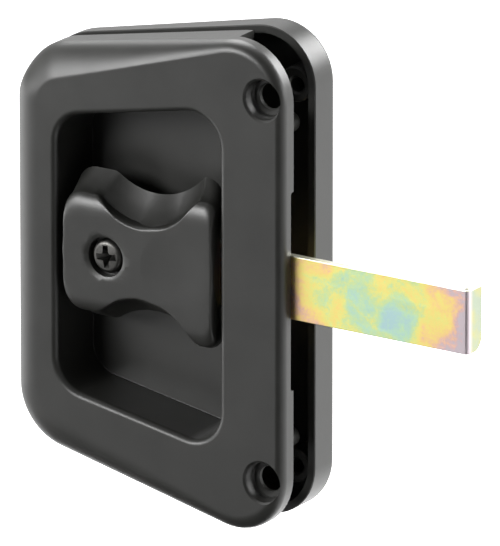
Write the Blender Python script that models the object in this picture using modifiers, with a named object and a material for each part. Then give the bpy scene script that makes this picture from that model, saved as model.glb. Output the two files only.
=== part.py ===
"""Latch and pull set of a sliding screen door, modelled in Blender 4.5.

Two tapered pulls sit on the two sides of the door's edge stile. A square spindle runs through both of
them. It carries a bow-tie lever on each side and a flat steel bar that swings in the gap between the pulls.

Every size below is in millimetres. The model itself is in metres, +Z up.
X runs across the door towards the latching side, and Y runs through the door from the inside to the outside.
The origin is where the spindle's axis meets the inside pull's back plane.
"""

from collections import namedtuple
from math import atan2, cos, hypot, pi, radians, sin, tan

import bmesh
import bpy
from mathutils import Matrix, Vector

MM = 0.001
GAP = 0.3

# Pulls, seen from the front: trapezoids with their long side towards the latching side
TRAPEZOID_PARTS = "left right low_left high_left low_right high_right radius_left radius_right"
Trapezoid = namedtuple("Trapezoid", TRAPEZOID_PARTS)
INSIDE_EDGE = Trapezoid(-21.8, 40.0, -39.1, 38.2, -52.6, 50.3, 12.0, 11.5)
OUTSIDE_EDGE = Trapezoid(-21.8, 40.4, -38.4, 38.3, -51.7, 50.9, 13.0, 10.8)
PULL_FACE = Trapezoid(-15.8, 38.2, -32.2, 32.0, -50.2, 48.7, 5.5, 9.5)
POCKET = Trapezoid(-11.6, 25.7, -27.6, 26.2, -34.5, 33.6, 6.5, 6.5)
PULL_MIDDLE_Z = -0.85
BEYOND = 60.0
CORNER_STEPS = 5
EDGE_STEPS = 5
HOLLOW_EDGE_STEPS = 4
FILLET_STEPS = 4

# Depths along Y
INSIDE_RIM_Y = 0.0
INSIDE_FACE_Y = -4.0
INSIDE_EDGE_DEPTH_LEFT = 3.6
INSIDE_EDGE_DEPTH_RIGHT = 1.9
SKIRT_END_Y = 5.0
SKIRT_END_X = 27.8
POCKET_FLOOR_Y = 8.0
POCKET_DRAFT = 0.5
POCKET_FILLET = 0.6
LIP_RADIUS = 1.3
WALL = 1.6
HOLLOW_FACE_INSET = WALL / 3
OUTSIDE_RIM_Y = 6.9
OUTSIDE_FACE_Y = 14.6
OUTSIDE_EDGE_DEPTH_LEFT = 5.5
OUTSIDE_EDGE_DEPTH_RIGHT = 2.0
RECESS_FLOOR_Y = 11.4
RECESS_FILLET = 1.0
RECESS_BACK_Y = POCKET_FLOOR_Y + WALL + GAP

# Mounting holes, their bosses, and the locating pegs
HOLE_X = 35.4
HOLE_SPACING = 76.2
HOLE_RADIUS = 2.5
COUNTERBORE_RADIUS = 3.8
COUNTERBORE_DEPTH = 2.8
INSIDE_BOSS_RADIUS = 4.3
INSIDE_BOSS_X = 35.1
INSIDE_BOSS_START_Y = -2.6
INSIDE_BOSS_END_Y = -0.05
OUTSIDE_BOSS_RADIUS = 3.5
OUTSIDE_BOSS_X = 35.0
OUTSIDE_BOSS_START_Y = 8.0
PILOT_RADIUS = 1.5
PEG_RADIUS = 2.0
PEG_X = 35.4
PEG_SPACING = 62.8
PEG_START_Y = -3.2
PEG_END_Y = 6.6
SLIM_STEPS = 24
PILOT_STEPS = 20

# Latch bar: flat strip with its end bent back
BAR_HALF_WIDTH = 6.35
BAR_THICKNESS = 1.5
BAR_FRONT_Y = -0.6
BAR_BACK_Y = BAR_FRONT_Y + BAR_THICKNESS
BAR_START_X = -6.35
BAR_END_X = 79.6
BAR_BEND_RADIUS = 0.8
BAR_BEND_STEPS = 4
BAR_FLANGE_END_Y = 4.1
NOTCH_DEPTH = 0.95
NOTCH_HALF = 19.8
NOTCH_REACH = 3.0
SLOT_HALF = 9.4
SLOT_REACH = 3.0
SLOT_CLEARANCE = 0.35

# Square spindle and what turns with it
SPINDLE_SIDE = 6.35
SQUARE_HOLE = SPINDLE_SIDE + 2 * GAP
SPINDLE_FRONT_Y = -0.9
SPINDLE_REAR_Y = 14.0
THREAD_HOLE_RADIUS = 2.05
THREAD_DEPTH = 6.6
BUSH_RADIUS = 6.3
BUSH_SHOULDER_RADIUS = 8.0
BUSH_FLANGE_RADIUS = 10.0
BUSH_FLANGE_THICKNESS = 1.2
FLOOR_HOLE_RADIUS = BUSH_RADIUS + GAP
WASHER_INNER_RADIUS = BUSH_RADIUS + GAP
WASHER_OUTER_RADIUS = 9.0
WASHER_THICKNESS = 0.3

# Levers: a flat face, a shoulder where its rounded edge ends, and a wider base
BowTie = namedtuple("BowTie", "left right half_left half_right waist corner_left corner_right")
LEVER_FACE = BowTie(-9.4, 23.9, 8.0, 10.2, 6.7, 3.4, 2.0)
LEVER_SHOULDER = BowTie(-9.9, 24.7, 12.0, 14.6, 7.6, 3.8, 2.2)
LEVER_BASE = BowTie(-9.9, 23.4, 14.8, 17.0, 11.8, 4.5, 3.6)
LEVER_BASE_RISE = 0.9
SCALLOP_X = 8.0
SCALLOP_RADIUS = 14.5
LEFT_BLEND = 3.0
RIGHT_BLEND = 0.8
INSIDE_LEVER_FACE_Y = -4.6
INSIDE_LEVER_BASE_Y = 1.3
OUTSIDE_LEVER_FACE_Y = 17.8
OUTSIDE_LEVER_BASE_Y = 12.7
LEVER_EDGE_DEPTH = 2.2
LEVER_EDGE_STEPS = 3
CHANNEL_REACH = 5.0
DISH_X = 15.6
DISH_RADIUS = 7.2
DISH_DEPTH = 0.4
DISH_OVERREACH = 1.15
DISH_STEPS = 6
LEVER_WEB = 0.6
SEAT_RADIUS = 3.95
LEVER_SCREW_HOLE_RADIUS = 2.05

# Lever screws: cross-recessed pan heads
HEAD_RADIUS = 3.45
HEAD_HEIGHT = 2.2
HEAD_CORNER = 1.1
HEAD_CORNER_STEPS = 4
SHANK_RADIUS = 1.75
SHANK_LENGTH = 7.0
CROSS_SPAN = 4.3
CROSS_WIDTH = 1.4
CROSS_DEPTH = 1.5
ROUND_STEPS = 32
SHARP_ANGLE = radians(35)

COLOURS = {
    "black_plastic": ((0.035, 0.035, 0.033), 0.45, 0.0),
    "zinc_plate": ((0.80, 0.66, 0.38), 0.35, 1.0),
    "dark_steel": ((0.10, 0.10, 0.10), 0.40, 1.0),
    "steel": ((0.45, 0.45, 0.46), 0.35, 1.0),
    "nylon": ((0.62, 0.61, 0.57), 0.55, 0.0),
}


def clear_scene():
    for thing in list(bpy.data.objects):
        bpy.data.objects.remove(thing, do_unlink=True)


def new_collection(name):
    collection = bpy.data.collections.new(name)
    bpy.context.scene.collection.children.link(collection)
    return collection


def material(name):
    found = bpy.data.materials.get(name)
    if found:
        return found
    colour, roughness, metallic = COLOURS[name]
    made = bpy.data.materials.new(name)
    made.use_nodes = True
    shader = made.node_tree.nodes["Principled BSDF"]
    shader.inputs["Base Color"].default_value = (*colour, 1.0)
    shader.inputs["Roughness"].default_value = roughness
    shader.inputs["Metallic"].default_value = metallic
    return made


# Flat outlines, as lists of (x, z)

def arc(centre, radius, start, turn, steps):
    angles = [start + turn * step / steps for step in range(steps + 1)]
    return [(centre[0] + radius * cos(a), centre[1] + radius * sin(a)) for a in angles]


def rounded(corners, radii, steps):
    """Replace each corner of a closed polygon by an arc that touches both of its edges."""
    points = []
    count = len(corners)
    for index, corner in enumerate(corners):
        here = Vector(corner)
        back = (Vector(corners[index - 1]) - here).normalized()
        ahead = (Vector(corners[(index + 1) % count]) - here).normalized()
        half = back.angle(ahead) / 2
        radius = radii[index]
        centre = here + (back + ahead).normalized() * radius / sin(half)
        first = here + back * radius / tan(half) - centre
        last = here + ahead * radius / tan(half) - centre
        turn = (atan2(last.y, last.x) - atan2(first.y, first.x) + pi) % (2 * pi) - pi
        points += arc(centre, radius, atan2(first.y, first.x), turn, steps)
    return points


def trapezoid_outline(shape):
    corners = [
        (shape.left, shape.low_left),
        (shape.right, shape.low_right),
        (shape.right, shape.high_right),
        (shape.left, shape.high_left),
    ]
    radii = [shape.radius_left, shape.radius_right, shape.radius_right, shape.radius_left]
    return rounded(corners, radii, CORNER_STEPS)


def grown(shape, distance):
    """The same trapezoid with every side moved out by a distance."""
    width = shape.right - shape.left
    top_slope = (shape.high_right - shape.high_left) / width
    low_slope = (shape.low_right - shape.low_left) / width
    top_rise = distance * hypot(1, top_slope)
    low_rise = distance * hypot(1, low_slope)
    return Trapezoid(
        shape.left - distance,
        shape.right + distance,
        shape.low_left - low_rise - distance * low_slope,
        shape.high_left + top_rise - distance * top_slope,
        shape.low_right - low_rise + distance * low_slope,
        shape.high_right + top_rise + distance * top_slope,
        shape.radius_left + distance,
        shape.radius_right + distance,
    )


def between(first, second, share):
    return type(first)(*(a + (b - a) * share for a, b in zip(first, second)))


def leg(slant, side):
    """The third side of a right-angled triangle."""
    return (slant * slant - side * side) ** 0.5


def bow_tie_outline(shape):
    """Half of the bow tie from its left side over the scallop to its right side, and its mirror image."""
    scallop = (SCALLOP_X, shape.waist + SCALLOP_RADIUS)
    drop_left = scallop[1] - shape.half_left + LEFT_BLEND
    drop_right = scallop[1] - shape.half_right + RIGHT_BLEND
    reach_left = leg(SCALLOP_RADIUS + LEFT_BLEND, drop_left)
    reach_right = leg(SCALLOP_RADIUS + RIGHT_BLEND, drop_right)
    lean_left = atan2(drop_left, reach_left)
    lean_right = atan2(drop_right, reach_right)
    blend_left = (SCALLOP_X - reach_left, shape.half_left - LEFT_BLEND)
    blend_right = (SCALLOP_X + reach_right, shape.half_right - RIGHT_BLEND)
    corner_left = (shape.left + shape.corner_left, shape.half_left - shape.corner_left)
    corner_right = (shape.right - shape.corner_right, shape.half_right - shape.corner_right)
    sweep = pi - lean_left - lean_right
    upper = arc(corner_left, shape.corner_left, pi, -pi / 2, 4)
    upper += arc(blend_left, LEFT_BLEND, pi / 2, lean_left - pi / 2, 4)
    upper += arc(scallop, SCALLOP_RADIUS, pi + lean_left, sweep, 12)[1:-1]
    upper += arc(blend_right, RIGHT_BLEND, pi - lean_right, lean_right - pi / 2, 2)
    upper += arc(corner_right, shape.corner_right, pi / 2, -pi / 2, 4)
    return upper + [(x, -z) for x, z in reversed(upper)]


# Solids

def finish_mesh(name, shape_data, collection, finish=None):
    bmesh.ops.recalc_face_normals(shape_data, faces=shape_data.faces)
    mesh = bpy.data.meshes.new(name)
    shape_data.to_mesh(mesh)
    shape_data.free()
    mesh.shade_smooth()
    mesh.set_sharp_from_angle(angle=SHARP_ANGLE)
    thing = bpy.data.objects.new(name, mesh)
    collection.objects.link(thing)
    if finish:
        mesh.materials.append(material(finish))
    return thing


def loft(name, rings, collection, finish=None):
    """A closed solid through rings of equally many points, with a flat cap on the first and the last."""
    shape_data = bmesh.new()
    rows = [[shape_data.verts.new(Vector(point) * MM) for point in ring] for ring in rings]
    count = len(rows[0])
    for row, following in zip(rows, rows[1:]):
        for index in range(count):
            turn = (index + 1) % count
            shape_data.faces.new((row[index], row[turn], following[turn], following[index]))
    shape_data.faces.new(rows[0])
    shape_data.faces.new(rows[-1])
    return finish_mesh(name, shape_data, collection, finish)


def ring(outline, y):
    return [(x, y, z) for x, z in outline]


def box(name, low, high, collection):
    shape_data = bmesh.new()
    size = Vector(high) - Vector(low)
    middle = (Vector(high) + Vector(low)) / 2
    place = Matrix.Translation(middle * MM) @ Matrix.Diagonal((*size, 1))
    bmesh.ops.create_cube(shape_data, size=MM, matrix=place)
    return finish_mesh(name, shape_data, collection)


def cylinder(name, x, z, start_y, end_y, radius, collection, steps=ROUND_STEPS):
    shape_data = bmesh.new()
    middle = Vector((x, (start_y + end_y) / 2, z)) * MM
    bmesh.ops.create_cone(
        shape_data,
        cap_ends=True,
        segments=steps,
        radius1=radius * MM,
        radius2=radius * MM,
        depth=abs(end_y - start_y) * MM,
        matrix=Matrix.Translation(middle) @ Matrix.Rotation(-pi / 2, 4, "X"),
    )
    return finish_mesh(name, shape_data, collection)


def turned(name, profile, closed, collection, finish):
    """Turn a profile of (radius, y) about the spindle's axis. Its outer side runs from high y to low."""
    shape_data = bmesh.new()
    verts = [shape_data.verts.new((radius * MM, 0, y * MM)) for radius, y in profile]
    for first, second in zip(verts, verts[1:]):
        shape_data.edges.new((first, second))
    if closed:
        shape_data.edges.new((verts[-1], verts[0]))
    mesh = bpy.data.meshes.new(name)
    shape_data.to_mesh(mesh)
    shape_data.free()
    mesh.materials.append(material(finish))
    thing = bpy.data.objects.new(name, mesh)
    thing.rotation_euler.x = -pi / 2
    collection.objects.link(thing)
    screw = thing.modifiers.new("turn", "SCREW")
    screw.steps = ROUND_STEPS
    screw.render_steps = ROUND_STEPS
    screw.use_merge_vertices = True
    screw.merge_threshold = 0.00001
    return thing


def combine(thing, tool, operation):
    """Join a tool to a solid, or cut it away, and keep the tool out of sight."""
    boolean = thing.modifiers.new(tool.name, "BOOLEAN")
    boolean.object = tool
    boolean.operation = operation
    boolean.solver = "EXACT"
    tool.hide_render = True
    tool.display_type = "WIRE"


# Pulls

def pocket_rings(face_y, floor_y, fillet):
    """Rings from the pocket's floor, up its wall and over its rounded lip to the face."""
    outward = 1 if floor_y > face_y else -1
    floor = grown(POCKET, -POCKET_DRAFT)
    rings = []
    for step in range(FILLET_STEPS + 1):
        angle = pi / 2 * step / FILLET_STEPS
        outline = trapezoid_outline(grown(floor, fillet * (sin(angle) - 1)))
        rings.append(ring(outline, floor_y - outward * fillet * (1 - cos(angle))))
    for step in range(FILLET_STEPS + 1):
        angle = pi / 2 * step / FILLET_STEPS
        outline = trapezoid_outline(grown(POCKET, LIP_RADIUS * (1 - cos(angle))))
        rings.append(ring(outline, face_y + outward * LIP_RADIUS * (1 - sin(angle))))
    return rings


def rounded_edge(face, edge, face_y, edge_y, steps):
    """Rings of a quarter ellipse from the flat face out to the edge, whose y changes along x."""
    rings = []
    for step in range(steps + 1):
        angle = pi / 2 * step / steps
        outline = trapezoid_outline(between(face, edge, sin(angle)))
        rings.append([(x, face_y + (edge_y(x) - face_y) * (1 - cos(angle)), z) for x, z in outline])
    return rings


def edge_depth(x, edge, depth_left, depth_right):
    """Both pulls' edges are rounded deeply at the left and lightly at the right."""
    share = (x - edge.left) / (edge.right - edge.left)
    return depth_left + (depth_right - depth_left) * share


def inside_edge_y(x):
    return INSIDE_FACE_Y + edge_depth(x, INSIDE_EDGE, INSIDE_EDGE_DEPTH_LEFT, INSIDE_EDGE_DEPTH_RIGHT)


def outside_edge_y(x):
    return OUTSIDE_FACE_Y - edge_depth(x, OUTSIDE_EDGE, OUTSIDE_EDGE_DEPTH_LEFT, OUTSIDE_EDGE_DEPTH_RIGHT)


def inside_pull(parts, cutters):
    outer = pocket_rings(INSIDE_FACE_Y, POCKET_FLOOR_Y, POCKET_FILLET)
    outer += rounded_edge(PULL_FACE, INSIDE_EDGE, INSIDE_FACE_Y, inside_edge_y, EDGE_STEPS)
    outer.append(ring(trapezoid_outline(INSIDE_EDGE), SKIRT_END_Y))
    hollow_edge = grown(INSIDE_EDGE, -WALL)
    hollow_face = grown(PULL_FACE, -HOLLOW_FACE_INSET)
    hollow_face_y = INSIDE_FACE_Y + WALL
    tub = grown(POCKET, WALL)
    tub_floor = grown(POCKET, WALL - POCKET_DRAFT)
    tub_back_y = POCKET_FLOOR_Y + WALL
    inner = [ring(trapezoid_outline(hollow_edge), SKIRT_END_Y)]
    inner += reversed(rounded_edge(hollow_face, hollow_edge, hollow_face_y, inside_edge_y, HOLLOW_EDGE_STEPS))
    inner.append(ring(trapezoid_outline(tub), hollow_face_y))
    inner.append(ring(trapezoid_outline(tub_floor), tub_back_y - POCKET_FILLET))
    inner.append(ring(trapezoid_outline(grown(tub_floor, -POCKET_FILLET)), tub_back_y))
    pull = loft("inside_pull", outer + inner, parts, "black_plastic")
    hole_start_y = POCKET_FLOOR_Y - 1
    spindle_hole = cylinder("inside_floor_hole", 0, 0, hole_start_y, tub_back_y + 1, FLOOR_HOLE_RADIUS, cutters)
    combine(pull, spindle_hole, "DIFFERENCE")
    opening_low = (SKIRT_END_X, INSIDE_RIM_Y, -BEYOND)
    opening_high = (INSIDE_EDGE.right + 1, SKIRT_END_Y + 1, BEYOND)
    combine(pull, box("skirt_opening", opening_low, opening_high, cutters), "DIFFERENCE")
    for name, side in (("upper", 1), ("lower", -1)):
        hole_z = PULL_MIDDLE_Z + side * HOLE_SPACING / 2
        peg_z = PULL_MIDDLE_Z + side * PEG_SPACING / 2
        boss = cylinder(
            f"{name}_inside_boss",
            INSIDE_BOSS_X,
            hole_z,
            INSIDE_BOSS_START_Y,
            INSIDE_BOSS_END_Y,
            INSIDE_BOSS_RADIUS,
            cutters,
        )
        peg = cylinder(f"{name}_peg", PEG_X, peg_z, PEG_START_Y, PEG_END_Y, PEG_RADIUS, cutters, SLIM_STEPS)
        combine(pull, boss, "UNION")
        combine(pull, peg, "UNION")
        start_y = INSIDE_FACE_Y - 1
        seat_y = INSIDE_FACE_Y + COUNTERBORE_DEPTH
        end_y = INSIDE_RIM_Y + 1
        seat = cylinder(f"{name}_counterbore", HOLE_X, hole_z, start_y, seat_y, COUNTERBORE_RADIUS, cutters)
        hole = cylinder(f"{name}_hole", HOLE_X, hole_z, INSIDE_FACE_Y, end_y, HOLE_RADIUS, cutters, SLIM_STEPS)
        combine(pull, seat, "DIFFERENCE")
        combine(pull, hole, "DIFFERENCE")
    notch_low = (INSIDE_EDGE.right - NOTCH_REACH, INSIDE_RIM_Y - NOTCH_DEPTH, PULL_MIDDLE_Z - NOTCH_HALF)
    notch_high = (INSIDE_EDGE.right + 1, INSIDE_RIM_Y + 1, PULL_MIDDLE_Z + NOTCH_HALF)
    combine(pull, box("rim_notch", notch_low, notch_high, cutters), "DIFFERENCE")
    slot_low = (POCKET.right - SLOT_REACH, BAR_FRONT_Y - SLOT_CLEARANCE, -SLOT_HALF)
    slot_high = (POCKET.right + SLOT_REACH, BAR_BACK_Y + SLOT_CLEARANCE, SLOT_HALF)
    combine(pull, box("pocket_slot", slot_low, slot_high, cutters), "DIFFERENCE")
    return pull


def outside_pull(parts, cutters):
    outer = pocket_rings(OUTSIDE_FACE_Y, RECESS_FLOOR_Y, RECESS_FILLET)
    outer += rounded_edge(PULL_FACE, OUTSIDE_EDGE, OUTSIDE_FACE_Y, outside_edge_y, EDGE_STEPS)
    outer.append(ring(trapezoid_outline(OUTSIDE_EDGE), OUTSIDE_RIM_Y))
    hollow_edge = grown(OUTSIDE_EDGE, -WALL)
    hollow_face = grown(PULL_FACE, -HOLLOW_FACE_INSET)
    hollow_face_y = OUTSIDE_FACE_Y - WALL
    tub = grown(POCKET, WALL)
    inner = [ring(trapezoid_outline(hollow_edge), OUTSIDE_RIM_Y)]
    inner += reversed(rounded_edge(hollow_face, hollow_edge, hollow_face_y, outside_edge_y, HOLLOW_EDGE_STEPS))
    inner.append(ring(trapezoid_outline(tub), hollow_face_y))
    inner.append(ring(trapezoid_outline(grown(tub, -POCKET_DRAFT)), RECESS_BACK_Y + RECESS_FILLET))
    inner.append(ring(trapezoid_outline(grown(tub, -POCKET_DRAFT - RECESS_FILLET)), RECESS_BACK_Y))
    pull = loft("outside_pull", outer + inner, parts, "black_plastic")
    for name, side in (("upper", 1), ("lower", -1)):
        hole_z = PULL_MIDDLE_Z + side * HOLE_SPACING / 2
        boss = cylinder(
            f"{name}_outside_boss",
            OUTSIDE_BOSS_X,
            hole_z,
            OUTSIDE_BOSS_START_Y,
            hollow_face_y + WALL / 2,
            OUTSIDE_BOSS_RADIUS,
            cutters,
        )
        start_y = OUTSIDE_BOSS_START_Y - 1
        end_y = hollow_face_y
        pilot = cylinder(f"{name}_pilot", HOLE_X, hole_z, start_y, end_y, PILOT_RADIUS, cutters, PILOT_STEPS)
        combine(pull, boss, "UNION")
        combine(pull, pilot, "DIFFERENCE")
    hole_start_y = RECESS_BACK_Y - 1
    hole_end_y = RECESS_FLOOR_Y + 1
    spindle_hole = cylinder("outside_floor_hole", 0, 0, hole_start_y, hole_end_y, FLOOR_HOLE_RADIUS, cutters)
    combine(pull, spindle_hole, "DIFFERENCE")
    return pull


# Lever sets

def lever(name, face_y, base_y, seat_y, parts, cutters):
    """A bow tie with a rounded edge, which flares out below its shoulder and sits higher at its base."""
    inward = 1 if base_y > face_y else -1
    face = bow_tie_outline(LEVER_FACE)
    shoulder = bow_tie_outline(LEVER_SHOULDER)
    base = [(x, z + LEVER_BASE_RISE) for x, z in bow_tie_outline(LEVER_BASE)]
    rings = []
    for step in range(LEVER_EDGE_STEPS + 1):
        angle = pi / 2 * step / LEVER_EDGE_STEPS
        share = sin(angle)
        rim = []
        for (x0, z0), (x1, z1) in zip(face, shoulder):
            depth = min(hypot(x1 - x0, z1 - z0), LEVER_EDGE_DEPTH) * (1 - cos(angle))
            rim.append((x0 + (x1 - x0) * share, face_y + inward * depth, z0 + (z1 - z0) * share))
        rings.append(rim)
    rings.append(ring(base, base_y))
    handle = loft(name, rings, parts, "black_plastic")
    ball_radius = (DISH_RADIUS ** 2 + DISH_DEPTH ** 2) / (2 * DISH_DEPTH)
    combine(handle, dish(f"{name}_dish", face_y, inward, ball_radius, cutters), "DIFFERENCE")
    seat = cylinder(f"{name}_seat", 0, 0, face_y - inward, seat_y, SEAT_RADIUS, cutters)
    radius = LEVER_SCREW_HOLE_RADIUS
    hole_start_y = seat_y - inward
    hole_end_y = base_y + inward
    screw_hole = cylinder(f"{name}_screw_hole", 0, 0, hole_start_y, hole_end_y, radius, cutters, SLIM_STEPS)
    combine(handle, seat, "DIFFERENCE")
    combine(handle, screw_hole, "DIFFERENCE")
    return handle


def dish(name, face_y, inward, ball_radius, cutters):
    """The lens of a large ball that hollows the lever's face: a low cone stack closed by a flat top."""
    last = ROUND_STEPS - 1
    full_turn = 2 * pi * last / ROUND_STEPS
    rings = []
    for step in range(DISH_STEPS):
        radius = DISH_RADIUS * DISH_OVERREACH * (step + 1) / DISH_STEPS
        depth = DISH_DEPTH - ball_radius + leg(ball_radius, radius)
        rings.append(ring(arc((DISH_X, 0), radius, 0, full_turn, last), face_y + inward * depth))
    rings.append([(x, face_y - inward, z) for x, _, z in rings[-1]])
    return loft(name, rings, cutters)


def inside_lever(parts, cutters):
    seat_y = SPINDLE_FRONT_Y - GAP - LEVER_WEB
    handle = lever("inside_lever", INSIDE_LEVER_FACE_Y, INSIDE_LEVER_BASE_Y, seat_y, parts, cutters)
    half = BAR_HALF_WIDTH + GAP
    channel_low = (BAR_START_X - GAP, BAR_FRONT_Y - GAP, -half)
    channel_high = (LEVER_BASE.right + CHANNEL_REACH, INSIDE_LEVER_BASE_Y + 1, half)
    combine(handle, box("bar_channel", channel_low, channel_high, cutters), "DIFFERENCE")
    square = SQUARE_HOLE / 2
    socket_low = (-square, SPINDLE_FRONT_Y - GAP, -square)
    socket_high = (square, INSIDE_LEVER_BASE_Y + 1, square)
    combine(handle, box("inside_socket", socket_low, socket_high, cutters), "DIFFERENCE")
    return handle


def outside_lever(parts, cutters):
    seat_y = SPINDLE_REAR_Y + GAP + LEVER_WEB
    handle = lever("outside_lever", OUTSIDE_LEVER_FACE_Y, OUTSIDE_LEVER_BASE_Y, seat_y, parts, cutters)
    square = SQUARE_HOLE / 2
    socket_low = (-square, OUTSIDE_LEVER_BASE_Y - 1, -square)
    socket_high = (square, SPINDLE_REAR_Y + GAP, square)
    combine(handle, box("outside_socket", socket_low, socket_high, cutters), "DIFFERENCE")
    return handle


def square_cutter(name, start_y, end_y, cutters):
    square = SQUARE_HOLE / 2
    return box(name, (-square, start_y, -square), (square, end_y, square), cutters)


def latch_bar(parts, cutters):
    """A strip with its end bent back sharply. Its outline in (x, y) runs out along the front."""
    bend_centre = (BAR_END_X - BAR_BEND_RADIUS, BAR_FRONT_Y + BAR_BEND_RADIUS)
    flange_back_x = BAR_END_X - BAR_THICKNESS
    outline = [(BAR_START_X, BAR_FRONT_Y)]
    outline += arc(bend_centre, BAR_BEND_RADIUS, -pi / 2, pi / 2, BAR_BEND_STEPS)
    outline += [(BAR_END_X, BAR_FLANGE_END_Y), (flange_back_x, BAR_FLANGE_END_Y)]
    outline += [(flange_back_x, BAR_BACK_Y), (BAR_START_X, BAR_BACK_Y)]
    rings = [[(x, y, z) for x, y in outline] for z in (-BAR_HALF_WIDTH, BAR_HALF_WIDTH)]
    bar = loft("latch_bar", rings, parts, "zinc_plate")
    combine(bar, square_cutter("bar_hole", BAR_FRONT_Y - 1, BAR_BACK_Y + 1, cutters), "DIFFERENCE")
    return bar


def pivot_spindle(parts, cutters):
    half = SPINDLE_SIDE / 2
    spindle = box("pivot_spindle", (-half, SPINDLE_FRONT_Y, -half), (half, SPINDLE_REAR_Y, half), parts)
    spindle.data.materials.append(material("steel"))
    for name, end_y, inward in (("front_thread", SPINDLE_FRONT_Y, 1), ("rear_thread", SPINDLE_REAR_Y, -1)):
        start_y = end_y - inward
        depth_y = end_y + inward * THREAD_DEPTH
        thread = cylinder(name, 0, 0, start_y, depth_y, THREAD_HOLE_RADIUS, cutters, SLIM_STEPS)
        combine(spindle, thread, "DIFFERENCE")
    return spindle


def inside_bush(parts, cutters):
    """Turns in the pocket's floor, backs the bar, and stands the lever off the floor."""
    front_y = BAR_BACK_Y + GAP
    flange_y = INSIDE_LEVER_BASE_Y + GAP
    shoulder_y = POCKET_FLOOR_Y - WASHER_THICKNESS - 2 * GAP
    rear_y = POCKET_FLOOR_Y + WALL
    flange_rear_y = flange_y + BUSH_FLANGE_THICKNESS
    profile = [
        (0, rear_y),
        (BUSH_RADIUS, rear_y),
        (BUSH_RADIUS, shoulder_y),
        (BUSH_SHOULDER_RADIUS, shoulder_y),
        (BUSH_SHOULDER_RADIUS, flange_rear_y),
        (BUSH_FLANGE_RADIUS, flange_rear_y),
        (BUSH_FLANGE_RADIUS, flange_y),
        (BUSH_RADIUS, flange_y),
        (BUSH_RADIUS, front_y),
        (0, front_y),
    ]
    bush = turned("inside_bush", profile, False, parts, "nylon")
    combine(bush, square_cutter("inside_bush_hole", front_y - 1, rear_y + 1, cutters), "DIFFERENCE")
    return bush


def outside_bush(parts, cutters):
    """Turns in the recess floor of the outside pull and stands the outside lever off it."""
    front_y = RECESS_BACK_Y
    flange_y = RECESS_FLOOR_Y + GAP
    rear_y = OUTSIDE_LEVER_BASE_Y - GAP
    profile = [(0, rear_y), (BUSH_SHOULDER_RADIUS, rear_y), (BUSH_SHOULDER_RADIUS, flange_y)]
    profile += [(BUSH_RADIUS, flange_y), (BUSH_RADIUS, front_y), (0, front_y)]
    bush = turned("outside_bush", profile, False, parts, "nylon")
    combine(bush, square_cutter("outside_bush_hole", front_y - 1, rear_y + 1, cutters), "DIFFERENCE")
    return bush


def friction_washer(parts):
    front_y = POCKET_FLOOR_Y - GAP - WASHER_THICKNESS
    rear_y = POCKET_FLOOR_Y - GAP
    profile = [(WASHER_INNER_RADIUS, rear_y), (WASHER_OUTER_RADIUS, rear_y)]
    profile += [(WASHER_OUTER_RADIUS, front_y), (WASHER_INNER_RADIUS, front_y)]
    return turned("friction_washer", profile, True, parts, "steel")


def lever_screw(name, seat_y, inward, parts, cutters):
    """A pan head with a shank. The profile runs from high y to low, so one of the two is turned over."""
    top_y = seat_y - inward * HEAD_HEIGHT
    tip_y = seat_y + inward * SHANK_LENGTH
    profile = [(0, tip_y), (SHANK_RADIUS, tip_y), (SHANK_RADIUS, seat_y), (HEAD_RADIUS, seat_y)]
    for step in range(HEAD_CORNER_STEPS + 1):
        angle = pi / 2 * step / HEAD_CORNER_STEPS
        corner = HEAD_RADIUS - HEAD_CORNER + HEAD_CORNER * cos(angle)
        profile.append((corner, top_y + inward * HEAD_CORNER * (1 - sin(angle))))
    profile.append((0, top_y))
    if inward < 0:
        profile.reverse()
    screw = turned(name, profile, False, parts, "dark_steel")
    deep_y = top_y + inward * CROSS_DEPTH
    clear_y = top_y - inward
    low_y, high_y = min(deep_y, clear_y), max(deep_y, clear_y)
    long, short = CROSS_SPAN / 2, CROSS_WIDTH / 2
    across = box(f"{name}_cross", (-long, low_y, -short), (long, high_y, short), cutters)
    upright = box(f"{name}_upright", (-short, low_y, -long), (short, high_y, long), cutters)
    combine(across, upright, "UNION")
    combine(screw, across, "DIFFERENCE")
    return screw


def main():
    clear_scene()
    parts = new_collection("screen_door_latch")
    cutters = new_collection("cutters")
    inside_pull(parts, cutters)
    outside_pull(parts, cutters)
    axis = bpy.data.objects.new("latch_axis", None)
    parts.objects.link(axis)
    inside_seat_y = SPINDLE_FRONT_Y - LEVER_WEB - 2 * GAP
    outside_seat_y = SPINDLE_REAR_Y + LEVER_WEB + 2 * GAP
    turning = [
        inside_lever(parts, cutters),
        outside_lever(parts, cutters),
        latch_bar(parts, cutters),
        pivot_spindle(parts, cutters),
        inside_bush(parts, cutters),
        outside_bush(parts, cutters),
        lever_screw("inside_lever_screw", inside_seat_y, 1, parts, cutters),
        lever_screw("outside_lever_screw", outside_seat_y, -1, parts, cutters),
    ]
    for piece in turning:
        piece.parent = axis
    friction_washer(parts)


main()
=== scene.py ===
"""Looks of the sliding screen door latch: moulded pulls and levers, plated latch bar, screws and studio.

Lengths below are in millimetres in the CAD's frame, unless a comment says otherwise. Outer sizes come from the
frame's boxes. X runs towards the latching side, Y from the inside of the door to the outside, and Z up.
"""

from collections import namedtuple
from math import atan2, cos, hypot, pi, radians, sin, tan

import bmesh
import bpy
from mathutils import Matrix, Vector


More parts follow.
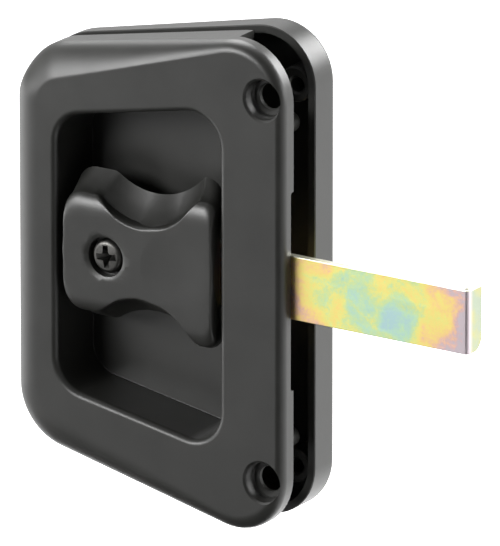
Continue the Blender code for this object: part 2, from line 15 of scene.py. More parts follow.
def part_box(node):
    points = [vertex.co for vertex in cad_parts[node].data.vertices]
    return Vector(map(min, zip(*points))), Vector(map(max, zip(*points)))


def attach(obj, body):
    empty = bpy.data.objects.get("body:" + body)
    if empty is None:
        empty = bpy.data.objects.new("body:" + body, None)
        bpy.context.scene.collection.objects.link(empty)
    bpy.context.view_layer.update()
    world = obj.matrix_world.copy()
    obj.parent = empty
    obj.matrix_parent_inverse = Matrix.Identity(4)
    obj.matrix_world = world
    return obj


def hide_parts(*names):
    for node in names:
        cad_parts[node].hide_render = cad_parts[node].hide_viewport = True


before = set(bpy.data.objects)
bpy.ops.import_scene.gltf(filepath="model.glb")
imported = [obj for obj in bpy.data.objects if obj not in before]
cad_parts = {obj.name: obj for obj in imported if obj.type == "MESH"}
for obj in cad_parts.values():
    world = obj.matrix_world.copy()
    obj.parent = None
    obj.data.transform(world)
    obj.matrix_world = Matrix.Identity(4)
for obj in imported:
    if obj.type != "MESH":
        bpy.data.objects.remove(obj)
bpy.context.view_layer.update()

MM = 0.001


def box_mm(node):
    low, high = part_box(node)
    return low / MM, high / MM


PULL_LOW, PULL_HIGH = box_mm("inside_pull")
OUTSIDE_LOW, OUTSIDE_HIGH = box_mm("outside_pull")
LEVER_LOW, LEVER_HIGH = box_mm("inside_lever")
BACK_LEVER_LOW, BACK_LEVER_HIGH = box_mm("outside_lever")
BAR_LOW, BAR_HIGH = box_mm("latch_bar")
SCREW_LOW, SCREW_HIGH = box_mm("inside_lever_screw")
BACK_SCREW_LOW, BACK_SCREW_HIGH = box_mm("outside_lever_screw")

# Pull outlines: trapezoids with their long side towards the latching side
TRAPEZOID_PARTS = "left right low_left high_left low_right high_right radius_left radius_right"
Trapezoid = namedtuple("Trapezoid", TRAPEZOID_PARTS)

# The pulls' outer edges: each taper is an edge's rise over its run, and the ends come from the frame's boxes
EdgeForm = namedtuple("EdgeForm", "top_taper low_taper radius_left radius_right")
INSIDE_FORM = EdgeForm(0.1958, -0.2184, 12.0, 11.5)
OUTSIDE_FORM = EdgeForm(0.2026, -0.2138, 13.0, 10.8)

# The flat face and the pocket's mouth, which both pulls share
PULL_FACE = Trapezoid(-15.8, 38.2, -32.2, 32.0, -50.2, 48.7, 5.5, 9.5)
POCKET = Trapezoid(-11.6, 25.7, -27.6, 26.2, -34.5, 33.6, 6.5, 6.5)
MIDDLE_Z = -0.85

# Depths along Y
WALL = 1.6
INSIDE_FACE_Y = PULL_LOW.y
INSIDE_EDGE_DEPTH_LEFT = 3.6
INSIDE_EDGE_DEPTH_RIGHT = 1.9
SKIRT_END_Y = 5.0
SKIRT_END_X = 27.8
INSIDE_RIM_BEVEL = 0.25
OUTSIDE_RIM_BEVEL = 0.2
POCKET_FLOOR_Y = PULL_HIGH.y - WALL
POCKET_DRAFT = 0.5
POCKET_FILLET = 0.12
LIP_RADIUS = 1.3
OUTSIDE_FACE_Y = OUTSIDE_HIGH.y
OUTSIDE_RIM_Y = OUTSIDE_LOW.y
OUTSIDE_EDGE_DEPTH_LEFT = 5.5
OUTSIDE_EDGE_DEPTH_RIGHT = 2.0
RECESS_DEPTH = 3.2
RECESS_FILLET = 1.0
RECESS_BACK_Y = 9.9

# The rolled edge along the top is deeper, and leaves the face at a crease. Both fade to the right, and where
# the edge turns from facing up to facing sideways
CREASE = 0.42
TOP_ROLL_EXTRA = 1.8
CREASE_FADE_START_X = -6.0
CREASE_FADE_END_X = 40.0
FACING_UP_START = 0.1
FACING_UP_FULL = 0.85

# Tools reach past the surfaces they cut
BEYOND = 1
BEYOND_PULLS = 60

# Holes, bosses and pegs. A profile is a list of (radius, y)
HOLE_X = 35.4
HOLE_SPACING = 76.2
HOLE_RADIUS = 2.5
SEAT_RADIUS = 3.8
SEAT_DEPTH = 2.8
SEAT_CHAMFER = 0.55
SEAT_CHAMFER_RUN_OUT = 1.3
SEAT_DRAFT = 0.05
SEAT_FILLET = 0.35
HOLE_CHAMFER = 0.3
HOLE_END_Y = 2
BOSS_X = 35.0
INSIDE_BOSS = [(4.3, INSIDE_FACE_Y + 1.4), (4.3, -0.35), (4.0, -0.05)]
OUTSIDE_BOSS_MOUTH = [(3.2, 8.0), (3.5, 8.3)]
OUTSIDE_BOSS_RADIUS = 3.6
PILOT_MOUTH = [(1.9, 7.0), (1.9, 8.0), (1.5, 8.4)]
PILOT_RADIUS = 1.5
PEG_X = 35.4
PEG_SPACING = 62.8
PEG_RADIUS = 2.0
PEG_FOOT_RADIUS = 2.3
PEG_FOOT_DEPTH = 0.8
PEG_FOOT_END_Y = -1.2
PEG_END_Y = 6.6
PEG_TIP = 0.55
FLOOR_HOLE_RADIUS = 6.6

# The notch in the inside pull's rim, and the slot in its pocket's wall that lets the bar through
NOTCH_DEPTH = 0.95
NOTCH_HALF = 19.8
NOTCH_WIDTH = 3
NOTCH_END_Y = 3
NOTCH_CORNER = 0.6
SLOT_HALF = 9.4
SLOT_CORNER = 0.3
SLOT_ROOM = 0.35
SLOT_INNER_REACH = 2
SLOT_OUTER_REACH = 3

# Lever outlines. The shoulder's right side is drawn in, so that the lever's corners clear the pocket's wall
SWING_ROOM = 0.25
BowTie = namedtuple("BowTie", "left right half_left half_right waist corner_left corner_right")
LEVER_FACE = BowTie(-9.4, 23.9, 7.6, 9.8, 6.7, 3.4, 2.0)
LEVER_SHOULDER = BowTie(LEVER_LOW.x, LEVER_HIGH.x - SWING_ROOM, 12.0, 14.6, 7.6, 3.8, 2.2)
LEVER_BASE_RISE = 0.9
LEVER_BASE = BowTie(LEVER_LOW.x, 23.4, 14.8, LEVER_HIGH.z - LEVER_BASE_RISE, 11.8, 4.5, 3.6)
SCALLOP_X = 8.0
SCALLOP_RADIUS = 14.5
LEFT_BLEND = 3.0
RIGHT_BLEND = 0.8

# Lever surfaces. The shares say where the rings lie, from the face's middle out and from the shoulder down
LEVER_EDGE_DEPTH = 2.2
LEVER_FACE_SHARES = [0.03, 0.1, 0.2, 0.3, 0.4, 0.5, 0.6, 0.7, 0.78, 0.86, 0.92, 0.96]
LEVER_FLANK_SHARES = [0.3, 0.65, 0.95]
LEVER_FLARE = 1.3
DISH_X = 15.6
DISH_RADIUS = 7.6
DISH_DEPTH = 0.4
DISH_SOFTNESS = 1.5

# The lever's counterbore, and the square hole and the channel in its back
LEVER_SEAT_RADIUS = 3.95
LEVER_SEAT_CHAMFER = 0.8
SCREW_HOLE_RADIUS = 2.05
SQUARE_HOLE_HALF = 3.475
SCREW_SEAT_INSET = 0.3
CHANNEL_ROOM = 0.3
CHANNEL_END_X = 30
INSIDE_SOCKET_ROOM = 0.6
OUTSIDE_SOCKET_END_Y = 14.3

# Latch bar
BAR_THICKNESS = 1.5
BAR_BEND_RADIUS = 0.8
BAR_INNER_RADIUS = 0.1
BAR_BEVEL = 0.18
BAR_SHARES = (0.1, 0.3, 0.5, 0.7, 0.9)
FLANGE_CORNER = 2.4
FLANGE_CORNER_SHARE = 0.98

# Lever screws
HEAD_RADIUS = SCREW_HIGH.x
HEAD_HEIGHT = 2.2
HEAD_CORNER = 1.1
HEAD_CROWN = 0.22
HEAD_MIDDLE = 0.02
HEAD_EDGE_SHARE = 0.75
CROWN_SHARES = (0.25, 0.5, 0.75)
SHANK_RADIUS = 1.75
SHANK_TIP_CHAMFER = 0.3
THREAD_PITCH = 0.8
THREAD_DEPTH = 0.25
THREAD_HALF = 0.2

# The screws' cross recess: its mouth, and the deep and flared ends as shares of it
CROSS_SPAN = 4.6
CROSS_WIDTH = 1.25
CROSS_FILLET = 0.3
CROSS_DEPTH = 2.3
CROSS_DEEP_SPAN = 0.15
CROSS_DEEP_WIDTH = 0.3
CROSS_MOUTH_DEPTH = 0.15
CROSS_FLARE_SPAN = 1.02
CROSS_FLARE_WIDTH = 1.05
CROSS_FLARE_HEIGHT = 0.5
CROSS_TURN = radians(5)

# How finely curves are divided
CORNER_STEPS = 14
SIDE_STEPS = 12
LIP_STEPS = 7
EDGE_STEPS = 14
HOLLOW_STEPS = 6
TUB_FLOOR_STEPS = 4
ROUND_STEPS = 64
OUTSIDE_BOSS_STEPS = 48
PILOT_STEPS = 32
PEG_STEPS = 40
PEG_TIP_STEPS = 4
SLAB_CORNER_STEPS = 5
SCALLOP_STEPS = 44
LEVER_EDGE_STEPS = 8
LEVER_CORNER_STEPS = 12
LEVER_RIGHT_CORNER_STEPS = 10
LEVER_RIGHT_BLEND_STEPS = 6
LEVER_SIDE_STEPS = 16
BAR_BEND_STEPS = 12
FLANGE_STEPS = 6
HEAD_STEPS = 8
SCREW_STEPS = 72

# Shading: edges sharper than these angles stay sharp, and flat faces keep their normals by this weight
SHARP_DEGREES = 30
LEVER_SHARP_DEGREES = 40
BAR_SHARP_DEGREES = 50
FLAT_FACE_WEIGHT = 60

# The bar's plating, in metres. The film's thickness goes from 0, at the middle, to about 1. The flange's
# painted reflection fades in from a start to an end behind the strip's front, and the top edge's painted
# highlight below its top
FILM_MIDDLE_X = 0.0615
FILM_MIDDLE_Z = -0.0012
FILM_LEFT_X = 0.040
FILM_LEFT = 0.66
FILM_RIGHT = 1.02
FILM_PER_METRE = 58.0
FLANGE_FADE_START = 0.0005
FLANGE_FADE_END = 0.0017
FLANGE_FADE_LEFT_X = 0.0777
FLANGE_FADE_RIGHT_X = 0.0782
TOP_FADE_START = 0.0003
TOP_FADE_END = 0.0001
ROLLING_SCALE = (120.0, 2600.0, 2600.0)

# Steel: its clouds are this many times the size of its grain
CLOUD_SIZE = 7
ROUGHNESS_CHANGE = 0.07

# Camera, lights and floor, in metres. The camera's lens and sensor are in millimetres
CAMERA_AIM = Vector((0.02687, 0.0050, -0.0009))
CAMERA_AZIMUTH = radians(33.2)
CAMERA_ELEVATION = radians(18.0)
CAMERA_LENS = 1000.0
CAMERA_SENSOR = 36.0
CAMERA_CLIP_END = 20.0
PICTURE_HEIGHT_M = 0.1039
FLOOR_DROP = 0.30
FLOOR_SIZE = 14.0
FLOOR_FRONT_Y = -0.2
FLOOR_BACK_Y = 0.5
FLOOR_FRONT_GLOW = 0.12
FLOOR_BACK_GLOW = 1.2
LIGHT_SPREAD = radians(75)
WORLD_REACH = 0.6
WORLD_FRONT = 0.12
WORLD_BACK = 0.95
WHITE = (1.0, 1.0, 1.0, 1.0)


# Flat outlines, as lists of (x, z)

def arc(centre, radius, start, turn, steps):
    angles = [start + turn * step / steps for step in range(steps + 1)]
    return [(centre[0] + radius * cos(a), centre[1] + radius * sin(a)) for a in angles]


def circle(centre, radius, steps):
    return arc(centre, radius, 0, 2 * pi * (steps - 1) / steps, steps - 1)


def rounded(corners, radii, corner_steps, side_steps):
    """A closed polygon with arcs for corners, and with points along its sides."""
    points = []
    count = len(corners)
    for index, corner in enumerate(corners):
        here = Vector(corner)
        back = (Vector(corners[index - 1]) - here).normalized()
        ahead = (Vector(corners[(index + 1) % count]) - here).normalized()
        half = back.angle(ahead) / 2
        radius = radii[index]
        centre = here + (back + ahead).normalized() * radius / sin(half)
        first = here + back * radius / tan(half) - centre
        last = here + ahead * radius / tan(half) - centre
        turn = (atan2(last.y, last.x) - atan2(first.y, first.x) + pi) % (2 * pi) - pi
        bend = arc(centre, radius, atan2(first.y, first.x), turn, corner_steps)
        if points:
            points += line(points[-1], bend[0], side_steps)
        points += bend
    return points + line(points[-1], points[0], side_steps)


def line(start, end, steps):
    """The points strictly between two ends."""
    shares = [step / steps for step in range(1, steps)]
    return [(start[0] + (end[0] - start[0]) * s, start[1] + (end[1] - start[1]) * s) for s in shares]


def trapezoid_outline(shape):
    corners = [
        (shape.left, shape.low_left),
        (shape.right, shape.low_right),
        (shape.right, shape.high_right),
        (shape.left, shape.high_left),
    ]
    radii = [shape.radius_left, shape.radius_right, shape.radius_right, shape.radius_left]
    return rounded(corners, radii, CORNER_STEPS, SIDE_STEPS)


def pull_edge(low, high, form):
    """A pull's outer trapezoid, whose rounded right corners touch the top and bottom of the frame's box."""
    width = high.x - low.x
    lift = form.radius_right * (form.top_taper + hypot(1, form.top_taper) - 1)
    drop = form.radius_right * (-form.low_taper + hypot(1, form.low_taper) - 1)
    high_right = high.z + lift
    low_right = low.z - drop
    return Trapezoid(
        low.x,
        high.x,
        low_right - form.low_taper * width,
        high_right - form.top_taper * width,
        low_right,
        high_right,
        form.radius_left,
        form.radius_right,
    )


def grown(shape, distance):
    """The same trapezoid with every side moved out by a distance."""
    width = shape.right - shape.left
    top_slope = (shape.high_right - shape.high_left) / width
    low_slope = (shape.low_right - shape.low_left) / width
    top_rise = distance * hypot(1, top_slope)
    low_rise = distance * hypot(1, low_slope)
    return Trapezoid(
        shape.left - distance,
        shape.right + distance,
        shape.low_left - low_rise - distance * low_slope,
        shape.high_left + top_rise - distance * top_slope,
        shape.low_right - low_rise + distance * low_slope,
        shape.high_right + top_rise + distance * top_slope,
        shape.radius_left + distance,
        shape.radius_right + distance,
    )


def leg(slant, side):
    """The third side of a right-angled triangle."""
    return (slant * slant - side * side) ** 0.5


def bow_tie_outline(shape):
    """Half of the bow tie from its left side over the scallop to its right side, and its mirror image."""
    scallop = (SCALLOP_X, shape.waist + SCALLOP_RADIUS)
    drop_left = scallop[1] - shape.half_left + LEFT_BLEND
    drop_right = scallop[1] - shape.half_right + RIGHT_BLEND
    reach_left = leg(SCALLOP_RADIUS + LEFT_BLEND, drop_left)
    reach_right = leg(SCALLOP_RADIUS + RIGHT_BLEND, drop_right)
    lean_left = atan2(drop_left, reach_left)
    lean_right = atan2(drop_right, reach_right)
    blend_left = (SCALLOP_X - reach_left, shape.half_left - LEFT_BLEND)
    blend_right = (SCALLOP_X + reach_right, shape.half_right - RIGHT_BLEND)
    corner_left = (shape.left + shape.corner_left, shape.half_left - shape.corner_left)
    corner_right = (shape.right - shape.corner_right, shape.half_right - shape.corner_right)
    upper = arc(corner_left, shape.corner_left, pi, -pi / 2, LEVER_CORNER_STEPS)
    upper += arc(blend_left, LEFT_BLEND, pi / 2, lean_left - pi / 2, LEVER_CORNER_STEPS)
    upper += arc(scallop, SCALLOP_RADIUS, pi + lean_left, pi - lean_left - lean_right, SCALLOP_STEPS)[1:-1]
    upper += arc(blend_right, RIGHT_BLEND, pi - lean_right, lean_right - pi / 2, LEVER_RIGHT_BLEND_STEPS)
    upper += arc(corner_right, shape.corner_right, pi / 2, -pi / 2, LEVER_RIGHT_CORNER_STEPS)
    right_side = line(upper[-1], (upper[-1][0], -upper[-1][1]), LEVER_SIDE_STEPS)
    left_side = line((upper[0][0], -upper[0][1]), upper[0], LEVER_SIDE_STEPS)
    return upper + right_side + [(x, -z) for x, z in reversed(upper)] + left_side


# Mesh work

def linked(name, shape_data):
    bmesh.ops.recalc_face_normals(shape_data, faces=shape_data.faces)
    mesh = bpy.data.meshes.new(name)
    shape_data.to_mesh(mesh)
    shape_data.free()
    thing = bpy.data.objects.new(name, mesh)
    bpy.context.scene.collection.objects.link(thing)
    return thing


def loft(name, rings):
    """A closed solid through rings of equally many points, with a flat cap on the first and the last."""
    shape_data = bmesh.new()
    rows = [[shape_data.verts.new(Vector(point) * MM) for point in ring] for ring in rings]
    count = len(rows[0])
    for row, following in zip(rows, rows[1:]):
        for index in range(count):
            turn = (index + 1) % count
            shape_data.faces.new((row[index], row[turn], following[turn], following[index]))
    shape_data.faces.new(rows[0])
    shape_data.faces.new(rows[-1])
    return linked(name, shape_data)


def level(outline, y):
    return [(x, y, z) for x, z in outline]


def lathe(name, centre, profile, steps=ROUND_STEPS):
    """A round solid along Y from a profile of (radius, y)."""
    return loft(name, [level(circle(centre, radius, steps), y) for radius, y in profile])


def slab(name, low, high, radius=0.0):
    """A box from low to high. A radius rounds its edges along X."""
    shape_data = bmesh.new()
    size = Vector(high) - Vector(low)
    middle = (Vector(high) + Vector(low)) / 2
    stretch = Matrix.Translation(middle * MM) @ Matrix.Diagonal((*size, 1))
    bmesh.ops.create_cube(shape_data, size=MM, matrix=stretch)
    if radius:
        along_x = [edge for edge in shape_data.edges if runs_along_x(edge)]
        bmesh.ops.bevel(
            shape_data,
            geom=along_x,
            offset=radius * MM,
            segments=SLAB_CORNER_STEPS,
            profile=0.5,
            affect="EDGES",
        )
    return linked(name, shape_data)


def runs_along_x(edge):
    return edge.verts[0].co.yz == edge.verts[1].co.yz


def carve(piece, steps):
    """Cut and join tools in turn, and keep only the resulting mesh."""
    for tool, operation in steps:
        boolean = piece.modifiers.new(tool.name, "BOOLEAN")
        boolean.object = tool
        boolean.operation = operation
        boolean.solver = "EXACT"
    depsgraph = bpy.context.evaluated_depsgraph_get()
    result = bpy.data.meshes.new_from_object(piece.evaluated_get(depsgraph))
    rough = piece.data
    piece.modifiers.clear()
    piece.data = result
    bpy.data.meshes.remove(rough)
    for tool, _ in steps:
        bpy.data.objects.remove(tool, do_unlink=True)
    return piece


def finish_surface(piece, material, sharp_degrees=SHARP_DEGREES):
    """Smooth shading that keeps flat faces flat, and the piece's material."""
    mesh = piece.data
    mesh.shade_smooth()
    mesh.set_sharp_from_angle(angle=radians(sharp_degrees))
    mesh.materials.clear()
    mesh.materials.append(material)
    weighted = piece.modifiers.new("flat_faces_flat", "WEIGHTED_NORMAL")
    weighted.keep_sharp = True
    weighted.weight = FLAT_FACE_WEIGHT
    return piece


def place(piece, body, node, slot):
    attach(piece, body)
    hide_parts(node)
    return piece


# Pulls

def quarter_turns(steps):
    return [pi / 2 * step / steps for step in range(steps + 1)]


def pocket_rings(face_y, floor_y, fillet):
    """Rings from the pocket's floor, up its wall and over its rounded lip to the face."""
    inward = 1 if floor_y > face_y else -1
    floor = grown(POCKET, -POCKET_DRAFT)
    rings = []
    for angle in quarter_turns(LIP_STEPS):
        outline = trapezoid_outline(grown(floor, fillet * (sin(angle) - 1)))
        rings.append(level(outline, floor_y - inward * fillet * (1 - cos(angle))))
    for angle in quarter_turns(LIP_STEPS):
        outline = trapezoid_outline(grown(POCKET, LIP_RADIUS * (1 - cos(angle))))
        rings.append(level(outline, face_y + inward * LIP_RADIUS * (1 - sin(angle))))
    return rings


def smooth_step(value, start, end):
    share = min(max((value - start) / (end - start), 0), 1)
    return share * share * (3 - 2 * share)


def top_left_share(x, span_x, span_z):
    """1 where the rolled edge faces up at the left end of the pull, falling to 0 round the sides."""
    upward = smooth_step(span_z / hypot(span_x, span_z), FACING_UP_START, FACING_UP_FULL)
    return upward * (1 - smooth_step(x, CREASE_FADE_START_X, CREASE_FADE_END_X))


def rolled_edge(face, edge, face_y, edge_y, steps, creased=False):
    """Rings of a quarter ellipse from the flat face out to the edge. It may leave the face at a crease."""
    pairs = list(zip(trapezoid_outline(face), trapezoid_outline(edge)))
    rings = []
    for angle in quarter_turns(steps):
        points = []
        for (x0, z0), (x1, z1) in pairs:
            share = top_left_share(x0, x1 - x0, z1 - z0) if creased else 0
            straight = CREASE * share
            x = x0 + (x1 - x0) * sin(angle)
            z = z0 + (z1 - z0) * sin(angle)
            sink = straight * sin(angle) + (1 - straight) * (1 - cos(angle))
            points.append((x, face_y + (edge_y(x) + TOP_ROLL_EXTRA * share - face_y) * sink, z))
        rings.append(points)
    return rings


def edge_depth(x, depth_left, depth_right):
    """Both pulls' edges are rolled deeply at the left and lightly at the right."""
    share = (x - PULL_LOW.x) / (PULL_HIGH.x - PULL_LOW.x)
    return depth_left + (depth_right - depth_left) * share


def inside_edge_y(x):
    return INSIDE_FACE_Y + edge_depth(x, INSIDE_EDGE_DEPTH_LEFT, INSIDE_EDGE_DEPTH_RIGHT)


def outside_edge_y(x):
    return OUTSIDE_FACE_Y - edge_depth(x, OUTSIDE_EDGE_DEPTH_LEFT, OUTSIDE_EDGE_DEPTH_RIGHT)


def hole_heights(spacing):
    return [("upper", MIDDLE_Z + spacing / 2), ("lower", MIDDLE_Z - spacing / 2)]


def inside_pull(material):
    edge = pull_edge(PULL_LOW, PULL_HIGH, INSIDE_FORM)
    outer = pocket_rings(INSIDE_FACE_Y, POCKET_FLOOR_Y, POCKET_FILLET)
    outer += rolled_edge(PULL_FACE, edge, INSIDE_FACE_Y, inside_edge_y, EDGE_STEPS, creased=True)
    outer.append(level(trapezoid_outline(edge), SKIRT_END_Y - INSIDE_RIM_BEVEL))
    outer.append(level(trapezoid_outline(grown(edge, -INSIDE_RIM_BEVEL)), SKIRT_END_Y))
    hollow_edge = grown(edge, -WALL)
    hollow_face = grown(PULL_FACE, -WALL / 3)
    hollow_y = INSIDE_FACE_Y + WALL
    tub = grown(POCKET, WALL)
    tub_floor = grown(POCKET, WALL - POCKET_DRAFT)
    tub_back_y = POCKET_FLOOR_Y + WALL
    inner = [level(trapezoid_outline(hollow_edge), SKIRT_END_Y)]
    inner += reversed(rolled_edge(hollow_face, hollow_edge, hollow_y, inside_edge_y, HOLLOW_STEPS))
    inner.append(level(trapezoid_outline(tub), hollow_y))
    inner.append(level(trapezoid_outline(tub_floor), POCKET_FLOOR_Y - POCKET_FILLET))
    for angle in quarter_turns(TUB_FLOOR_STEPS)[1:]:
        outline = trapezoid_outline(grown(tub_floor, -POCKET_FILLET * (1 - cos(angle))))
        inner.append(level(outline, tub_back_y - POCKET_FILLET * (1 - sin(angle)) / 2))
    pull = loft("inside_pull_shell", outer + inner)
    floor_hole = [(FLOOR_HOLE_RADIUS, POCKET_FLOOR_Y - BEYOND), (FLOOR_HOLE_RADIUS, tub_back_y + BEYOND)]
    opening_low = (SKIRT_END_X, 0, -BEYOND_PULLS)
    opening_high = (PULL_HIGH.x + BEYOND, SKIRT_END_Y + BEYOND, BEYOND_PULLS)
    steps = [
        (lathe("floor_hole", (0, 0), floor_hole), "DIFFERENCE"),
        (slab("skirt_opening", opening_low, opening_high), "DIFFERENCE"),
    ]
    for name, z in hole_heights(HOLE_SPACING):
        steps.append((lathe(f"{name}_boss", (BOSS_X, z), INSIDE_BOSS), "UNION"))
    for name, z in hole_heights(PEG_SPACING):
        steps.append((lathe(f"{name}_peg", (PEG_X, z), peg_profile(), PEG_STEPS), "UNION"))
    for name, z in hole_heights(HOLE_SPACING):
        steps.append((lathe(f"{name}_seat", (HOLE_X, z), seat_profile()), "DIFFERENCE"))
    notch_low = (PULL_HIGH.x - NOTCH_WIDTH, -NOTCH_DEPTH, MIDDLE_Z - NOTCH_HALF)
    notch_high = (PULL_HIGH.x + BEYOND, NOTCH_END_Y, MIDDLE_Z + NOTCH_HALF)
    steps.append((slab("rim_notch", notch_low, notch_high, NOTCH_CORNER), "DIFFERENCE"))
    slot_low = (POCKET.right - SLOT_INNER_REACH, BAR_LOW.y - SLOT_ROOM, -SLOT_HALF)
    slot_high = (POCKET.right + SLOT_OUTER_REACH, BAR_LOW.y + BAR_THICKNESS + SLOT_ROOM, SLOT_HALF)
    steps.append((slab("pocket_slot", slot_low, slot_high, SLOT_CORNER), "DIFFERENCE"))
    return finish_surface(carve(pull, steps), material)


def peg_profile():
    """A peg on a wider foot, with a rounded tip."""
    peg = [
        (PEG_FOOT_RADIUS, INSIDE_FACE_Y + PEG_FOOT_DEPTH),
        (PEG_RADIUS, PEG_FOOT_END_Y),
        (PEG_RADIUS, PEG_END_Y - PEG_TIP),
    ]
    for angle in quarter_turns(PEG_TIP_STEPS)[1:]:
        peg.append((PEG_RADIUS - PEG_TIP * (1 - cos(angle)), PEG_END_Y - PEG_TIP * (1 - sin(angle))))
    return peg


def seat_profile():
    """Countersunk mouth, counterbore with a small fillet, and the screw's clearance hole with a chamfer."""
    seat_y = INSIDE_FACE_Y + SEAT_DEPTH
    return [
        (SEAT_RADIUS + SEAT_CHAMFER + BEYOND, INSIDE_FACE_Y - BEYOND),
        (SEAT_RADIUS + SEAT_CHAMFER, INSIDE_FACE_Y),
        (SEAT_RADIUS + SEAT_CHAMFER / 3, INSIDE_FACE_Y + SEAT_CHAMFER / 2),
        (SEAT_RADIUS, INSIDE_FACE_Y + SEAT_CHAMFER * SEAT_CHAMFER_RUN_OUT),
        (SEAT_RADIUS - SEAT_DRAFT, seat_y - SEAT_FILLET),
        (SEAT_RADIUS - SEAT_FILLET, seat_y),
        (HOLE_RADIUS + HOLE_CHAMFER, seat_y),
        (HOLE_RADIUS, seat_y + HOLE_CHAMFER),
        (HOLE_RADIUS, HOLE_END_Y),
    ]


def outside_pull(material):
    edge = pull_edge(OUTSIDE_LOW, OUTSIDE_HIGH, OUTSIDE_FORM)
    floor_y = OUTSIDE_FACE_Y - RECESS_DEPTH
    outer = pocket_rings(OUTSIDE_FACE_Y, floor_y, RECESS_FILLET)
    outer += rolled_edge(PULL_FACE, edge, OUTSIDE_FACE_Y, outside_edge_y, EDGE_STEPS)
    outer.append(level(trapezoid_outline(edge), OUTSIDE_RIM_Y + OUTSIDE_RIM_BEVEL))
    outer.append(level(trapezoid_outline(grown(edge, -OUTSIDE_RIM_BEVEL)), OUTSIDE_RIM_Y))
    hollow_edge = grown(edge, -WALL)
    hollow_face = grown(PULL_FACE, -WALL / 3)
    hollow_y = OUTSIDE_FACE_Y - WALL
    tub = grown(POCKET, WALL)
    inner = [level(trapezoid_outline(hollow_edge), OUTSIDE_RIM_Y)]
    inner += reversed(rolled_edge(hollow_face, hollow_edge, hollow_y, outside_edge_y, HOLLOW_STEPS))
    inner.append(level(trapezoid_outline(tub), hollow_y))
    inner.append(level(trapezoid_outline(grown(tub, -POCKET_DRAFT)), RECESS_BACK_Y + RECESS_FILLET))
    inner.append(level(trapezoid_outline(grown(tub, -POCKET_DRAFT - RECESS_FILLET)), RECESS_BACK_Y))
    pull = loft("outside_pull_shell", outer + inner)
    steps = []
    boss = OUTSIDE_BOSS_MOUTH + [(OUTSIDE_BOSS_RADIUS, hollow_y + WALL / 2)]
    pilot = PILOT_MOUTH + [(PILOT_RADIUS, hollow_y)]
    for name, z in hole_heights(HOLE_SPACING):
        steps.append((lathe(f"{name}_boss", (BOSS_X, z), boss, OUTSIDE_BOSS_STEPS), "UNION"))
        steps.append((lathe(f"{name}_pilot", (HOLE_X, z), pilot, PILOT_STEPS), "DIFFERENCE"))
    floor_hole = [(FLOOR_HOLE_RADIUS, RECESS_BACK_Y - BEYOND), (FLOOR_HOLE_RADIUS, floor_y + BEYOND)]
    steps.append((lathe("recess_hole", (0, 0), floor_hole), "DIFFERENCE"))
    return finish_surface(carve(pull, steps), material)


# Levers

def dish_depth(x, z):
    """A shallow bowl for the thumb that runs out softly at its rim."""
    share = min(hypot(x - DISH_X, z) / DISH_RADIUS, 1)
    return DISH_DEPTH * (1 - share * share) ** DISH_SOFTNESS


def lever(name, face_y, base_y, screw_seat_y, steps, material):
    """Rings from the middle of the face over the rounded shoulder and down the flared flank to the base."""
    inward = 1 if base_y > face_y else -1
    face = bow_tie_outline(LEVER_FACE)
    shoulder = bow_tie_outline(LEVER_SHOULDER)
    base = [(x, z + LEVER_BASE_RISE) for x, z in bow_tie_outline(LEVER_BASE)]
    rings = []
    for share in LEVER_FACE_SHARES:
        scaled = [(SCALLOP_X + (x - SCALLOP_X) * share, z * share) for x, z in face]
        rings.append([(x, face_y + inward * dish_depth(x, z), z) for x, z in scaled])
    for angle in quarter_turns(LEVER_EDGE_STEPS):
        points = []
        for (x0, z0), (x1, z1) in zip(face, shoulder):
            depth = min(hypot(x1 - x0, z1 - z0), LEVER_EDGE_DEPTH) * (1 - cos(angle))
            x = x0 + (x1 - x0) * sin(angle)
            z = z0 + (z1 - z0) * sin(angle)
            points.append((x, face_y + inward * (depth + dish_depth(x, z)), z))
        rings.append(points)
    rim = rings[-1]
    for share in LEVER_FLANK_SHARES:
        flare = share ** LEVER_FLARE
        rings.append([
            (x0 + (x1 - x0) * flare, y0 + (base_y - y0) * share, z0 + (z1 - z0) * flare)
            for (x0, y0, z0), (x1, z1) in zip(rim, base)
        ])
    rings.append(level(base, base_y))
    handle = loft(name, rings)
    seat = [
        (LEVER_SEAT_RADIUS + LEVER_SEAT_CHAMFER + BEYOND, face_y - inward * BEYOND),
        (LEVER_SEAT_RADIUS + LEVER_SEAT_CHAMFER, face_y),
        (LEVER_SEAT_RADIUS, face_y + inward * LEVER_SEAT_CHAMFER / 2),
        (LEVER_SEAT_RADIUS, screw_seat_y),
        (SCREW_HOLE_RADIUS, screw_seat_y),
        (SCREW_HOLE_RADIUS, base_y),
    ]
    cuts = [(lathe(f"{name}_seat", (0, 0), seat), "DIFFERENCE")]
    return finish_surface(carve(handle, cuts + steps), material, LEVER_SHARP_DEGREES)


def inside_lever(material):
    base_y = LEVER_HIGH.y
    half = BAR_HIGH.z + CHANNEL_ROOM
    channel_low = (BAR_LOW.x - CHANNEL_ROOM, BAR_LOW.y - CHANNEL_ROOM, -half)
    channel = slab("bar_channel", channel_low, (CHANNEL_END_X, base_y + BEYOND, half))
    square = SQUARE_HOLE_HALF
    socket_low = (-square, BAR_LOW.y - INSIDE_SOCKET_ROOM, -square)
    socket = slab("inside_socket", socket_low, (square, base_y + BEYOND, square))
    steps = [(channel, "DIFFERENCE"), (socket, "DIFFERENCE")]
    seat_y = SCREW_LOW.y + HEAD_HEIGHT - SCREW_SEAT_INSET
    return lever("inside_lever_handle", LEVER_LOW.y, base_y, seat_y, steps, material)


def outside_lever(material):
    base_y = BACK_LEVER_LOW.y
    square = SQUARE_HOLE_HALF
    socket_high = (square, OUTSIDE_SOCKET_END_Y, square)
    socket = slab("outside_socket", (-square, base_y - BEYOND, -square), socket_high)
    seat_y = BACK_SCREW_HIGH.y - HEAD_HEIGHT + SCREW_SEAT_INSET
    steps = [(socket, "DIFFERENCE")]
    return lever("outside_lever_handle", BACK_LEVER_HIGH.y, base_y, seat_y, steps, material)


# Latch bar and screws

